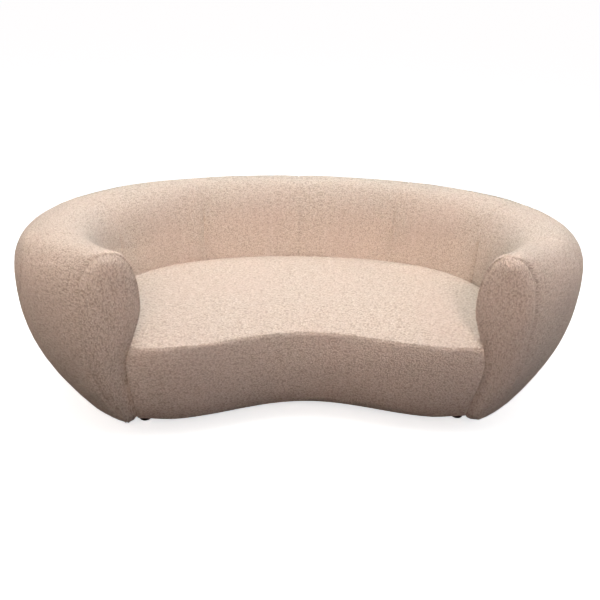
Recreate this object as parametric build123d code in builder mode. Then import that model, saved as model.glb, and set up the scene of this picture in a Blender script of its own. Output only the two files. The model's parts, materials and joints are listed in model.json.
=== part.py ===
"""A curved three-seat sofa on four short turned legs, as separate pieces, in millimetres.

The back and the arms are one horseshoe. It is drawn as vertical sections that fan out between an inner
plan curve, which runs round the seat, and an outer plan curve. A section is named by its angle: 0 at the
middle of the back, negative to the left, positive to the right, and arm_end at the front of an arm. Every
layer of the horseshoe, from its cover to its frame, is the same section drawn a little further in.
+X is to the right as seen from the front, -Y is the front, +Z is up, and the floor is Z = 0.
"""

from build123d import *
from math import cos, hypot, pi, radians, sin
import os

# ---------------------------------------------------------------- horseshoe, in plan
outer_half_width = 1100.0
outer_half_depth = 576.0
outer_centre_y = -73.0
outer_power = 2.05
inner_half_width = 770.0
inner_half_depth = 443.0
inner_centre_y = -152.0
inner_power = 2.3
arm_start = 70.0
arm_end = 128.8
outer_lead = 1.046

# ---------------------------------------------------------------- horseshoe, in section
back_height = 745.0
arm_rise = 9.0
shell_base = 62.0
widest_drop = 249.0
wall_drop = 183.0
tuck_level = 300.0
crest_share = 0.373
crest_power = 2.4
tuck_under_share = 0.407
tuck_under_extra = 63.5
tuck_under_power = 2.4
back_lean = 16.0
arm_overhang = 43.0
arm_foot_inset = 20.0
panel_bulge = 20.0

# ---------------------------------------------------------------- seat
seat_height = 402.0
seat_base = 80.0
seat_front_y = -468.0
seat_front_hollow = 112.0
hollow_half_width = 560.0
seat_gap = 2.5
seat_fill = 62.0

# ---------------------------------------------------------------- upholstery layers
cover = 2.5
gap = 0.2
back_fill = 42.0
arm_fill = 22.0
top_fill = 45.0
outer_fill = 6.0
front_fill = 12.0
hessian = 1.2
webbing = 2.4
webbing_width = 50.0
inner_cover_tuck = 72.0
seam_arcs = (0.0, 410.0, 800.0, 1150.0)

# ---------------------------------------------------------------- frame
frame_base = 66.0
base_ring_height = 18.0
base_rail_height = 95.0
base_rail_inset = 8.0
base_rail_foot = 32.0
base_rail_taper = 16.0
base_rail_top = 72.0
rail_end = 125.2
post_thickness = 30.0
post_width = 44.0
post_angles = (0.0, 32.0, 66.0, 104.0)
top_rail_drop = 110.0
top_rail_height = 37.0
top_rail_width = 45.0
top_rail_room = 62.0
stuffing_rail_drop = 46.0
stuffing_rail_height = 38.0
stuffing_rail_width = 28.0
board_start = 125.4
board_end = 128.4
board_foot = 122.0
front_rail_width = 32.0
front_rail_top = 176.0
base_clear = 4.0
bearer_height = 50.0
bearer_width = 45.0
bearer_spacing = 330.0
block_size = 84.0
glue_gap = 0.5
layer_gap = 1.2
ring_clear = 2.2

# ---------------------------------------------------------------- seat springs
spring_radius = 42.0
spring_wire = 3.6
lacing_clear = 4.9
spring_turns = 6
spring_spacing_x = 215.0
spring_rows_y = (-245.0, -80.0, 85.0)
springs_per_row = 5
twine = 3.0

# ---------------------------------------------------------------- legs and small parts
leg_top_radius = 31.0
leg_foot_radius = 24.0
leg_edge = 6.0
front_leg = (616.0, -350.0)
rear_leg = (520.0, 128.0)
glide_radius = 11.0
glide_height = 3.0
glide_nail_radius = 1.5
glide_nail_length = 18.0
bolt_radius = 4.0
bolt_hold = 38.0
dust_cover = 1.2
tack_head_radius = 4.5
tack_radius = 1.2
tack_length = 10.0
tack_spacing = 75.0

# ---------------------------------------------------------------- what follows from the sizes above
widest_level = back_height - widest_drop
wall_level = back_height - wall_drop
top_rail_base = back_height - top_rail_drop
inner_cover_foot = seat_height - inner_cover_tuck
stuffing_rail_base = inner_cover_foot - stuffing_rail_drop
post_inset = back_fill
top_rail_back = top_rail_room - back_fill


# ================================================================ curves that every piece shares
def signed_power(value, power):
    """A power that keeps the sign of its base."""
    return abs(value) ** power if value >= 0 else -abs(value) ** power


def plan_point(half_width, half_depth, centre_y, power, angle):
    """A point of a superellipse in plan, by its angle from the back."""
    turn = radians(angle)
    x = half_width * signed_power(sin(turn), 2 / power)
    y = centre_y + half_depth * signed_power(cos(turn), 2 / power)
    return x, y


def eased(value):
    """0 up to 0, 1 from 1 on, and an S-curve between."""
    value = min(max(value, 0.0), 1.0)
    return value * value * (3 - 2 * value)


class Section:
    """The vertical section of the horseshoe at one angle."""

    def __init__(self, angle):
        self.arm = eased((abs(angle) - arm_start) / (arm_end - arm_start))
        lead = 1 + (outer_lead - 1) * self.arm
        self.inner = plan_point(inner_half_width, inner_half_depth, inner_centre_y, inner_power, angle)
        outer = plan_point(outer_half_width, outer_half_depth, outer_centre_y, outer_power, angle * lead)
        across = (outer[0] - self.inner[0], outer[1] - self.inner[1])
        self.span = hypot(*across)
        self.out = (across[0] / self.span, across[1] / self.span)
        self.lean = (1 - eased(abs(angle) / 95)) * back_lean
        self.height = back_height + arm_rise * self.arm
        self.wall_top = self.lean - arm_overhang * self.arm
        self.wall_foot = arm_foot_inset * self.arm
        self.crest = self.wall_top + (self.span - self.wall_top) * crest_share + self.lean / 2
        self.tuck = tuck_under_share * self.span + tuck_under_extra
        self.fill = back_fill + (arm_fill - back_fill) * self.arm

    def plane(self):
        """The section's own plane: its X runs outwards, its Y up and its normal to growing angles."""
        return Plane(
            origin=(*self.inner, 0), x_dir=(*self.out, 0), z_dir=(self.out[1], -self.out[0], 0)
        )

    def place(self, s):
        """The point in plan at a distance s outwards from the inner plan curve."""
        return self.inner[0] + self.out[0] * s, self.inner[1] + self.out[1] * s

    def wall(self, z):
        """How far out the inner wall stands at a level below its top."""
        return self.wall_foot + (self.wall_top - self.wall_foot) * eased(
            (z - tuck_level) / (wall_level - tuck_level)
        )

    def outside(self, z):
        """How far out the outer face stands at a level below the widest one."""
        drop = (widest_level - z) / (widest_level - shell_base)
        return self.span - self.tuck * drop**tuck_under_power

    def post_face(self, z):
        """How far out the inner face of a back post stands."""
        foot = self.wall_foot + post_inset
        head = self.crest - top_rail_back
        rail_top = frame_base + base_ring_height + base_rail_height
        return foot + (head - foot) * (z - rail_top) / (top_rail_base - rail_top)

    def profile(self, inset, inner_foot, outer_foot):
        """Points of a layer's face, from its inner foot over the crest to its outer foot.

        inset is how far inside the outermost face the layer lies at the inner wall, top and outer face.
        """
        inner, top, outer = inset
        height = self.height - top
        wall_top = self.wall_top + inner
        span = self.span - outer
        points = []
        for step in range(5):
            z = inner_foot + (wall_level - inner_foot) * step / 5
            points.append((self.wall(z) + inner, z))
        for step in range(7):
            turn = pi / 2 * step / 7
            s = self.crest - (self.crest - wall_top) * cos(turn) ** (2 / crest_power)
            points.append((s, wall_level + (height - wall_level) * sin(turn) ** (2 / crest_power)))
        for step in range(8):
            turn = pi / 2 * step / 8
            s = self.crest + (span - self.crest) * sin(turn) ** (2 / crest_power)
            points.append((s, widest_level + (height - widest_level) * cos(turn) ** (2 / crest_power)))
        for step in range(7):
            z = widest_level + (outer_foot - widest_level) * step / 6
            points.append((self.outside(z) - outer, z))
        return points


def spread(start, end, step):
    """Values from start to end, evenly spaced and about a step apart."""
    count = max(2, round(abs(end - start) / step))
    return [start + (end - start) * index / count for index in range(count + 1)]


def angle_at(arc):
    """The angle at a distance along the inner plan curve from the middle of the back."""
    angle = 0.0
    walked = 0.0
    last = Section(0).inner
    while walked < arc:
        angle += 0.1
        here = Section(angle).inner
        walked += hypot(here[0] - last[0], here[1] - last[1])
        last = here
    return angle


def front_y(x, back=0.0):
    """The seat's hollow front in plan, at a depth behind its face."""
    reach = min(abs(x) / hollow_half_width, 1.0)
    return seat_front_y + seat_front_hollow * 0.5 * (1 + cos(pi * reach)) + back


def save(piece, name):
    """Label a finished piece and write it."""
    piece.part.label = name
    export_step(piece.part, f"parts/{name}.step")


os.makedirs("parts", exist_ok=True)

seam_angles = [angle_at(arc) for arc in seam_arcs] + [arm_end]
section_step = 9.0
front_step = 30.0
sides = {"left": -1, "right": 1}
run_names = ["back_inner", "back_outer", "side", "arm"]

cover_face = (0.0, 0.0, 0.0)
cover_back = (cover, cover, cover)
fill_face = (cover + gap, cover + gap, cover + gap)


def fill_back(section, extra=0.0):
    """The inset of the stuffing's inner face."""
    skin = cover + gap + extra
    return section.fill + skin, top_fill + skin, outer_fill + skin


# ================================================================ horseshoe upholstery
def channel(section, face, back, inner_foot, outer_foot):
    """Sketch one layer of the horseshoe, an upturned channel, in its section's plane."""
    with BuildSketch(section.plane()) as layer:
        with BuildLine():
            front = Spline(*section.profile(face, inner_foot, outer_foot))
            rear = Spline(*section.profile(back, inner_foot, outer_foot))
            Line(front @ 0, rear @ 0)
            Line(front @ 1, rear @ 1)
        make_face()
    return layer.sketch


ring_angles = []
for side, sign in sides.items():
    for run, start, end in zip(run_names, seam_angles, seam_angles[1:]):
        run_angles = spread(start, end, section_step)
        sections = [Section(sign * angle) for angle in run_angles]
        ring_angles += run_angles

        # Cover gore, sewn to its neighbours along the two end sections
        with BuildPart() as gore:
            loft([channel(cut, cover_face, cover_back, inner_cover_foot, shell_base) for cut in sections])
        save(gore, f"cover_{run}_{side}")

        # Stuffing behind the gore
        fill_foot = shell_base + cover + gap
        with BuildPart() as stuffing:
            loft([channel(cut, fill_face, fill_back(cut), inner_cover_foot, fill_foot) for cut in sections])
        save(stuffing, f"stuffing_{run}_{side}")


def wall_strip(section, near, far, foot, head):
    """Sketch a thin strip that follows the inner wall between two insets, in its section's plane."""
    levels = spread(foot, head, 60.0)
    with BuildSketch(section.plane()) as strip:
        with BuildLine():
            front = Spline(*[(section.wall(z) + near, z) for z in levels])
            rear = Spline(*[(section.wall(z) + far, z) for z in levels])
            Line(front @ 0, rear @ 0)
            Line(front @ 1, rear @ 1)
        make_face()
    return strip.sketch


strip_foot = stuffing_rail_base + stuffing_rail_height + gap
whole_ring = sorted({round(sign * angle, 6) for sign in sides.values() for angle in ring_angles})
hessian_reach = board_start - 1.0


def hessian_strip(section):
    """Sketch the hessian against the back of the stuffing."""
    inset = fill_back(section, layer_gap)[0]
    return wall_strip(section, inset, inset + hessian, inner_cover_foot, wall_level)


def web_strip(section):
    """Sketch the webbing behind the hessian."""
    inset = fill_back(section, layer_gap)[0] + hessian + layer_gap
    return wall_strip(section, inset, inset + webbing, strip_foot, wall_level)


with BuildPart() as back_hessian:
    loft([hessian_strip(Section(angle)) for angle in whole_ring if abs(angle) < hessian_reach])
save(back_hessian, "back_hessian")

with BuildPart() as back_webbing:
    for middle in spread(-hessian_reach + 5, hessian_reach - 5, 16.0):
        speed = hypot(*[b - a for a, b in zip(Section(middle - 0.5).inner, Section(middle + 0.5).inner)])
        half_turn = webbing_width / 2 / speed
        loft([web_strip(Section(middle + turn)) for turn in (-half_turn, 0, half_turn)])
save(back_webbing, "back_webbing")


# ================================================================ arm fronts
def whole_face(section, forward, inset, foot):
    """Sketch the whole outline of a section, drawn in by an inset, on a plane in front of it."""
    with BuildSketch(section.plane().offset(forward)) as outline:
        with BuildLine():
            edge = Spline(*section.profile(inset, foot, foot))
            Line(edge @ 1, edge @ 0)
        make_face()
    return outline.sketch


def end_faces(shape, sign, extra=0.0):
    """Sketch the end of an arm on each plane of a shape: pairs of a distance forward and an inset."""
    section = Section(sign * arm_end)
    return [
        whole_face(section, sign * forward, (inset + extra,) * 3, shell_base + inset + extra)
        for forward, inset in shape
    ]


for side, sign in sides.items():
    # Pad on the end of the arm, rounded towards its face
    pad_shape = ((0.0, cover), (panel_bulge * 0.55, cover * 1.7), (panel_bulge - cover, cover + 6.5))
    with BuildPart() as arm_pad:
        loft(end_faces(pad_shape, sign, gap))
    save(arm_pad, f"arm_front_pad_{side}")

    # Panel of cover fabric sewn over the pad
    panel_shape = ((0.0, 0.0), (panel_bulge * 0.65, cover * 0.6), (panel_bulge, 6.5))
    with BuildPart() as arm_panel:
        loft(end_faces(panel_shape, sign))
        loft(end_faces(pad_shape, sign), mode=Mode.SUBTRACT)
    save(arm_panel, f"arm_front_panel_{side}")

    # Board that the arm's rails run into
    board_faces = [Section(sign * angle) for angle in spread(board_start, board_end, 1.5)]
    with BuildPart() as arm_board:
        loft([whole_face(cut, 0.0, fill_back(cut, layer_gap), board_foot) for cut in board_faces])
    save(arm_board, f"arm_front_board_{side}")


# ================================================================ horseshoe frame
def cut_outline(section, corners):
    """Sketch straight-sided corners in a section's plane."""
    with BuildSketch(section.plane()) as cut:
        with BuildLine():
            Polyline(*corners, close=True)
        make_face()
    return cut.sketch


def base_ring_outline(section):
    """A flat ring that sets the footprint: its outer edge backs the stuffing where the shell tucks under."""
    face = section.wall_foot + base_rail_inset
    top = frame_base + base_ring_height
    skin = fill_back(section, ring_clear)[2]
    return (
        (face, frame_base),
        (section.outside(frame_base) - skin, frame_base),
        (section.outside(top) - skin, top),
        (face, top),
    )


def base_rail_outline(section):
    """A rail on the base ring, wider at its top, where the posts stand."""
    face = section.wall_foot + base_rail_inset
    foot = face + base_rail_foot - base_rail_taper * section.arm
    base = frame_base + base_ring_height
    top = base + base_rail_height
    return (face, base), (foot, base), (face + base_rail_top, top), (face, top)


def stuffing_rail_outline(section):
    """A rail at seat level, against the inner faces of the posts."""
    top = stuffing_rail_base + stuffing_rail_height
    foot_out = section.post_face(stuffing_rail_base)
    top_out = section.post_face(top)
    return (
        (foot_out - stuffing_rail_width, stuffing_rail_base),
        (foot_out, stuffing_rail_base),
        (top_out, top),
        (top_out - stuffing_rail_width, top),
    )


def top_rail_outline(section):
    """The rail under the crest."""
    face = section.crest - top_rail_back
    top = top_rail_base + top_rail_height
    return (
        (face, top_rail_base),
        (face + top_rail_width, top_rail_base),
        (face + top_rail_width, top),
        (face, top),
    )


post_names = {0.0: "centre_back_post"}
for label, angle in zip(("back", "corner", "arm"), post_angles[1:]):
    for side, sign in sides.items():
        post_names[sign * angle] = f"{side}_{label}_post"

posts = []
for angle, name in post_names.items():
    section = Section(angle)
    foot = frame_base + base_ring_height + base_rail_height
    corners = [
        (section.post_face(foot), foot),
        (section.post_face(foot) + post_thickness, foot),
        (section.post_face(top_rail_base) + post_thickness, top_rail_base),
        (section.post_face(top_rail_base), top_rail_base),
    ]
    with BuildPart() as post:
        extrude(cut_outline(section, corners), amount=post_width / 2, both=True)
    posts.append(post.part)
    save(post, name)

with BuildPart() as base_ring:
    ring_sections = [Section(angle) for angle in whole_ring if abs(angle) < board_start]
    loft([cut_outline(cut, base_ring_outline(cut)) for cut in ring_sections])
save(base_ring, "base_ring")

rails = {
    "base_rail": base_rail_outline,
    "stuffing_rail": stuffing_rail_outline,
    "top_rail": top_rail_outline,
}
for name, outline in rails.items():
    for side, sign in sides.items():
        sections = [Section(sign * angle) for angle in spread(0.0, rail_end, section_step)]
        with BuildPart() as half_rail:
            loft([cut_outline(cut, outline(cut)) for cut in sections])
            if outline is stuffing_rail_outline:
                add(posts, mode=Mode.SUBTRACT)
        save(half_rail, f"{name}_{side}")


# ================================================================ seat
end = Section(arm_end)
seat_levels = seat_height - cover
pad_base = seat_levels - seat_fill
front_stack = cover + gap + front_fill + gap


def seat_edge(section, clear=0.0):
    """How far out the seat reaches: it clears the inner wall, which leans out at the back and in at the arms."""
    return min(section.wall(pad_base), section.wall(seat_height)) - seat_gap - clear


def filling_edge(section):
    """How far out the seat's inner layers reach."""
    return seat_edge(section, gap)


def frame_edge(section):
    """How far out the pieces between the base rails reach."""
    return base_rail_inset - glue_gap


def dust_edge(section):
    """How far out the dust cover reaches."""
    return base_rail_inset - layer_gap


def seat_outline(level, edge, back):
    """Sketch the seat in plan, out to an edge at the back and arms, with its front set back."""
    cuts = [Section(angle) for angle in spread(-arm_end, arm_end, section_step)]
    round_back = [cut.place(edge(cut)) for cut in cuts]
    corner_x = round_back[-1][0]
    front = [(x, front_y(x, back)) for x in spread(corner_x, -corner_x, front_step)]
    with BuildSketch(Plane.XY.offset(level)) as outline:
        with BuildLine():
            Spline(*round_back)
            Line(round_back[-1], front[0])
            Spline(*front)
            Line(front[-1], round_back[0])
        make_face()
    return outline.sketch


with BuildPart() as seat_cover:
    extrude(seat_outline(seat_levels, seat_edge, 0.0), amount=cover)
save(seat_cover, "seat_cover")

with BuildPart() as seat_stuffing:
    extrude(seat_outline(pad_base, filling_edge, cover + glue_gap), amount=seat_fill - gap)
save(seat_stuffing, "seat_stuffing")

with BuildPart() as seat_hessian:
    extrude(seat_outline(pad_base - gap - hessian, filling_edge, front_stack + glue_gap), amount=hessian)
save(seat_hessian, "seat_hessian")


def front_band(start, thickness, foot, head):
    """A band that follows the hollow front, cut at its ends to the shape of the arm fronts."""
    clear = panel_bulge * abs(end.out[1]) + 1.5
    reach = {z: end.place(end.wall(z))[0] - clear for z in spread(foot, head, 30.0)}
    widest = max(reach.values())
    with BuildPart() as band:
        with BuildSketch(Plane.XY.offset(foot)):
            with BuildLine():
                near = Spline(*[(x, front_y(x, start)) for x in spread(-widest, widest, front_step)])
                far = Spline(*[(x, front_y(x, start + thickness)) for x in spread(-widest, widest, front_step)])
                Line(near @ 0, far @ 0)
                Line(near @ 1, far @ 1)
            make_face()
        extrude(amount=head - foot)
        with BuildSketch(Plane.XZ):
            with BuildLine():
                right_edge = [(x, z) for z, x in reach.items()]
                left_edge = [(-x, z) for x, z in reversed(right_edge)]
                Polyline(*right_edge, *left_edge, close=True)
            make_face()
        extrude(amount=outer_half_width, both=True, mode=Mode.INTERSECT)
    return band


save(front_band(0.0, cover, seat_base, seat_levels - gap), "seat_front_border")
save(front_band(cover + gap, front_fill, seat_base + gap, pad_base - gap), "seat_front_pad")

rail_base = seat_base + base_clear
board_face = Section(board_end)
board_edge = board_face.place(board_face.wall_foot + fill_back(board_face, layer_gap)[0])
rail_reach = board_edge[0] - glue_gap
rail_face = front_stack + base_clear
tack_y = rail_face + front_rail_width / 2
tack_span = front_leg[0] - leg_top_radius - 2 * tack_spacing
tack_spots = [(x, front_y(x, tack_y)) for x in spread(-tack_span, tack_span, tack_spacing)]

with BuildPart() as front_rail:
    with BuildSketch(Plane.XY.offset(rail_base)):
        with BuildLine():
            stations = spread(-rail_reach, rail_reach, front_step)
            near = Spline(*[(x, front_y(x, rail_face)) for x in stations])
            far = Spline(*[(x, front_y(x, rail_face + front_rail_width)) for x in stations])
            Line(near @ 0, far @ 0)
            Line(near @ 1, far @ 1)
        make_face()
    extrude(amount=front_rail_top - rail_base)
    with BuildSketch(Plane.XY.offset(rail_base)):
        with Locations(*tack_spots):
            Circle(tack_radius)
    extrude(amount=tack_length, mode=Mode.SUBTRACT)
save(front_rail, "front_rail")

frame_back = rail_face + front_rail_width + glue_gap


def inside_frame(base, thickness):
    """Keep only what lies between the base rails and the front rail."""
    region = seat_outline(base, frame_edge, frame_back)
    extrude(region, amount=thickness, mode=Mode.INTERSECT)


bearer_names = {"left": -bearer_spacing, "centre": 0.0, "right": bearer_spacing}
for place, x in bearer_names.items():
    with BuildPart() as bearer:
        with BuildSketch(Plane.XY.offset(rail_base)):
            with Locations((x, 0)):
                Rectangle(bearer_width, 2 * outer_half_depth)
        extrude(amount=bearer_height)
        inside_frame(rail_base, bearer_height)
    save(bearer, f"seat_bearer_{place}")

web_base = rail_base + bearer_height + gap
inner_back_y = inner_centre_y + inner_half_depth

with BuildPart() as long_webbing:
    with BuildSketch(Plane.XY.offset(web_base)):
        for y in spread(front_y(0) + 2 * webbing_width, inner_back_y - 1.4 * webbing_width, 120.0):
            with Locations((0, y)):
                Rectangle(2 * outer_half_width, webbing_width)
    extrude(amount=webbing)
    inside_frame(web_base, webbing)
save(long_webbing, "seat_webbing_lengthwise")

cross_base = web_base + webbing + gap
with BuildPart() as cross_webbing:
    with BuildSketch(Plane.XY.offset(cross_base)):
        for x in spread(-5 * spring_spacing_x / 2, 5 * spring_spacing_x / 2, spring_spacing_x / 2):
            with Locations((x, 0)):
                Rectangle(webbing_width, 2 * outer_half_depth)
    extrude(amount=webbing)
    inside_frame(cross_base, webbing)
save(cross_webbing, "seat_webbing_crosswise")

# Coil springs, sewn to the webbing, with their lacing just under the hessian
spring_base = cross_base + webbing + gap + spring_wire / 2
lacing_head = pad_base - gap - hessian - lacing_clear
spring_height = lacing_head - twine - gap - spring_wire / 2 - spring_base
spring_x = [spring_spacing_x * (index - (springs_per_row - 1) / 2) for index in range(springs_per_row)]
spring_places = [(x, y + (front_y(x) - front_y(0)) * 0.35) for y in spring_rows_y for x in spring_x]

with BuildPart() as one_spring:
    with BuildLine():
        coil = Helix(spring_height / spring_turns, spring_height, spring_radius)
    with BuildSketch(Plane(origin=coil @ 0, z_dir=coil % 0)):
        Circle(spring_wire / 2)
    sweep(is_frenet=True)

with BuildPart() as springs:
    with Locations(*[(x, y, spring_base) for x, y in spring_places]):
        add(one_spring.part)
save(springs, "seat_springs")

# Twine laced from spring to spring, along each row
twine_level = lacing_head - twine / 2
with BuildPart() as lacing:
    for row in range(len(spring_rows_y)):
        places = spring_places[row * springs_per_row : (row + 1) * springs_per_row]
        for (x0, y0), (x1, y1) in zip(places, places[1:]):
            run = Vector(x1 - x0, y1 - y0, 0)
            with BuildSketch(Plane(origin=(x0, y0, twine_level), z_dir=run)):
                Circle(twine / 2)
            extrude(amount=run.length)
save(lacing, "spring_twine")


# ================================================================ base
legs = {
    "front_left": (-front_leg[0], front_leg[1]),
    "front_right": front_leg,
    "rear_left": (-rear_leg[0], rear_leg[1]),
    "rear_right": rear_leg,
}


def upright_plane(x, y):
    """A vertical plane through a leg's axis, its X across and its Y up."""
    return Plane(origin=(x, y, 0), x_dir=(1, 0, 0), z_dir=(0, -1, 0))


for place, (x, y) in legs.items():
    with BuildPart() as leg:
        with BuildSketch(upright_plane(x, y)):
            with BuildLine():
                foot = Line((0, glide_height), (leg_foot_radius - leg_edge, glide_height))
                edge = RadiusArc(
                    foot @ 1, (leg_foot_radius, glide_height + leg_edge), -leg_edge
                )
                side_line = Spline(
                    edge @ 1,
                    (0.6 * leg_top_radius + 0.4 * leg_foot_radius, 0.62 * rail_base),
                    (leg_top_radius, rail_base),
                )
                Polyline(side_line @ 1, (0, rail_base), (0, glide_height))
            make_face()
        revolve(axis=Axis((x, y, 0), (0, 0, 1)))
        with BuildSketch(Plane.XY.offset(rail_base)):
            with Locations((x, y)):
                Circle(bolt_radius)
        extrude(amount=-bolt_hold, mode=Mode.SUBTRACT)
        with BuildSketch(Plane.XY.offset(glide_height)):
            with Locations((x, y)):
                Circle(glide_nail_radius)
        extrude(amount=glide_nail_length, mode=Mode.SUBTRACT)
    save(leg, f"leg_{place}")

leg_spots = list(legs.values())

with BuildPart() as blocks:
    with BuildSketch(Plane.XY.offset(rail_base)):
        with Locations(*leg_spots):
            Rectangle(block_size, block_size)
            Circle(bolt_radius, mode=Mode.SUBTRACT)
    extrude(amount=bearer_height)
    inside_frame(rail_base, bearer_height)
save(blocks, "corner_blocks")

with BuildPart() as bolts:
    with BuildSketch(Plane.XY.offset(rail_base - bolt_hold)):
        with Locations(*leg_spots):
            Circle(bolt_radius)
    extrude(amount=2 * bolt_hold)
save(bolts, "leg_bolts")

with BuildPart() as glides:
    with BuildSketch(Plane.XY):
        with Locations(*leg_spots):
            Circle(glide_radius)
    extrude(amount=glide_height)
    with BuildSketch(Plane.XY.offset(glide_height)):
        with Locations(*leg_spots):
            Circle(glide_nail_radius)
    extrude(amount=glide_nail_length)
save(glides, "leg_glides")

# Dust cover, tacked under the bearers and cut round the legs
with BuildPart() as dust:
    dust_region = seat_outline(rail_base - dust_cover, dust_edge, rail_face)
    extrude(dust_region, amount=dust_cover)
    with BuildSketch(Plane.XY.offset(rail_base - dust_cover)):
        with Locations(*leg_spots):
            Circle(leg_top_radius + 1)
        with Locations(*tack_spots):
            Circle(tack_radius)
    extrude(amount=dust_cover, mode=Mode.SUBTRACT)
save(dust, "dust_cover")

# Tacks along the front rail, through the edge of the dust cover
with BuildPart() as tacks:
    with BuildSketch(Plane.XY.offset(rail_base - dust_cover)):
        with Locations(*tack_spots):
            Circle(tack_head_radius)
    extrude(amount=-dust_cover)
    with BuildSketch(Plane.XY.offset(rail_base - dust_cover)):
        with Locations(*tack_spots):
            Circle(tack_radius)
    extrude(amount=tack_length)
save(tacks, "dust_cover_tacks")
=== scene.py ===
"""A curved sofa in nubby cream cloth, dressed around its frame.

The cloth pieces are grids of points laid on the sofa's own curves, blown up a little by Blender's cloth
between their seams, then given the relief of the cloth. Everything is in metres, in the frame's own axes:
+X along the sofa, -Y the front and +Z up.
"""

import json
import logging
import math
from abc import ABC, abstractmethod
from dataclasses import dataclass, field
from enum import Enum

import bpy
import numpy as np
from mathutils import Matrix


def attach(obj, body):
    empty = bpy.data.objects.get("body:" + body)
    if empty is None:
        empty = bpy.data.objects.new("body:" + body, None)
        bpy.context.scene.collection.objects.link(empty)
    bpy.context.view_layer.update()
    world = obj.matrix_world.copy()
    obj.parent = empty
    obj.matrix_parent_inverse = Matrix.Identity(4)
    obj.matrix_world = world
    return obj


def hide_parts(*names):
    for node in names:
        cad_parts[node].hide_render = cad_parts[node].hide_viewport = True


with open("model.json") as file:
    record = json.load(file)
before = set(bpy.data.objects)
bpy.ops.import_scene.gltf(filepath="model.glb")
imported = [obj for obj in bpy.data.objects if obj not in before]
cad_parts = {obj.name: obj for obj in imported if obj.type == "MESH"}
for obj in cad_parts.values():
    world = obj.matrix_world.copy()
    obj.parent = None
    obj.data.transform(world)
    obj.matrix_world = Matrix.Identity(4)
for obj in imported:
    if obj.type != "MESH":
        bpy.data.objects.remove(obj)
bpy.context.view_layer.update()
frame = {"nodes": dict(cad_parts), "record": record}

log = logging.getLogger("sofa")
BODY = "root"

SIM_STEP = 3
HIDDEN_STEP = 8
GRID_STEP = 24
WALL_POINTS, CREST_POINTS, OUTER_POINTS = 40, 60, 50
SHOULDER_POINT = 130
SMOOTH_ANGLE = math.radians(60)


class Side(Enum):
    """The two halves of the sofa."""

    LEFT = -1
    RIGHT = 1

    @property
    def word(self) -> str:
        """The side's name as the frame's nodes spell it."""
        return self.name.lower()


class Run(Enum):
    """The stretches of the horseshoe between two seams, from the middle of the back to the arm's end."""

    BACK_INNER = "back_inner"
    BACK_OUTER = "back_outer"
    SIDE = "side"
    ARM = "arm"


# ---------------------------------------------------------------- small mathematics


def eased(value: np.ndarray) -> np.ndarray:
    """Rise from 0 to 1 along an S-curve.

    Args:
        value: what to ease; it is held between 0 and 1 first.

    Returns:
        The eased value.
    """
    held = np.clip(value, 0.0, 1.0)
    return held * held * (3.0 - 2.0 * held)


def signed_power(value: np.ndarray, power: float) -> np.ndarray:
    """Raise to a power and keep the sign.

    Args:
        value: what to raise.
        power: the power.

    Returns:
        The raised value, with its old sign.
    """
    return np.sign(value) * np.abs(value) ** power


def rounded_edge(distance: np.ndarray, radius: float) -> np.ndarray:
    """Say how far a quarter-round edge has dropped, as a share of its radius.

    Args:
        distance: how far each point is from the edge.
        radius: the reach of the rounding.

    Returns:
        1 at the edge, 0 from the radius on.
    """
    inwards = 1.0 - np.clip(distance / radius, 0.0, 1.0)
    return 1.0 - np.sqrt(np.clip(1.0 - inwards * inwards, 0.0, 1.0))


def rolled_edge(distance: np.ndarray, reach: float) -> np.ndarray:
    """Say how far a softly rolled edge has dropped, with its surface at 45 degrees along the edge.

    Args:
        distance: how far each point is from the edge.
        reach: the reach of the rolling.

    Returns:
        1 at the edge, 0 from the reach on.
    """
    turned = (1.0 - np.clip(distance / reach, 0.0, 1.0)) * math.sqrt(0.5)
    return (1.0 - np.sqrt(1.0 - turned * turned)) / (1.0 - math.sqrt(0.5))


def line_length(line: np.ndarray) -> float:
    """Measure a polyline.

    Args:
        line: its points, one to a row.

    Returns:
        Its length.
    """
    return float(np.linalg.norm(np.diff(line, axis=0), axis=1).sum())


def distances(line: np.ndarray) -> np.ndarray:
    """Measure how far along a polyline each of its points lies.

    Args:
        line: its points, one to a row.

    Returns:
        Distances, 0 at the first point.
    """
    return np.concatenate([[0.0], np.cumsum(np.linalg.norm(np.diff(line, axis=0), axis=1))])


def even_along(line: np.ndarray, values: np.ndarray, count: int) -> np.ndarray:
    """Read values that belong to a polyline's points at even distances along it.

    Args:
        line: its points, one to a row.
        values: one value for each point.
        count: how many to return.

    Returns:
        The values at the evenly spaced places.
    """
    walked = distances(line)
    return np.interp(np.linspace(0.0, walked[-1], count), walked, values)


def resample(line: np.ndarray, count: int) -> np.ndarray:
    """Space points evenly along a polyline.

    Args:
        line: its points, one to a row.
        count: how many points to return.

    Returns:
        The evenly spaced points.
    """
    return np.stack([even_along(line, line[:, k], count) for k in range(line.shape[1])], axis=1)


def grid_count(length: float, step: float) -> int:
    """Count grid points along a length so that the simulated and hidden grids fall on them.

    Args:
        length: how long the cloth is.
        step: about how far apart its points are.

    Returns:
        The count, one more than a multiple of GRID_STEP.
    """
    return GRID_STEP * max(1, round(length / step / GRID_STEP)) + 1


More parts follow.
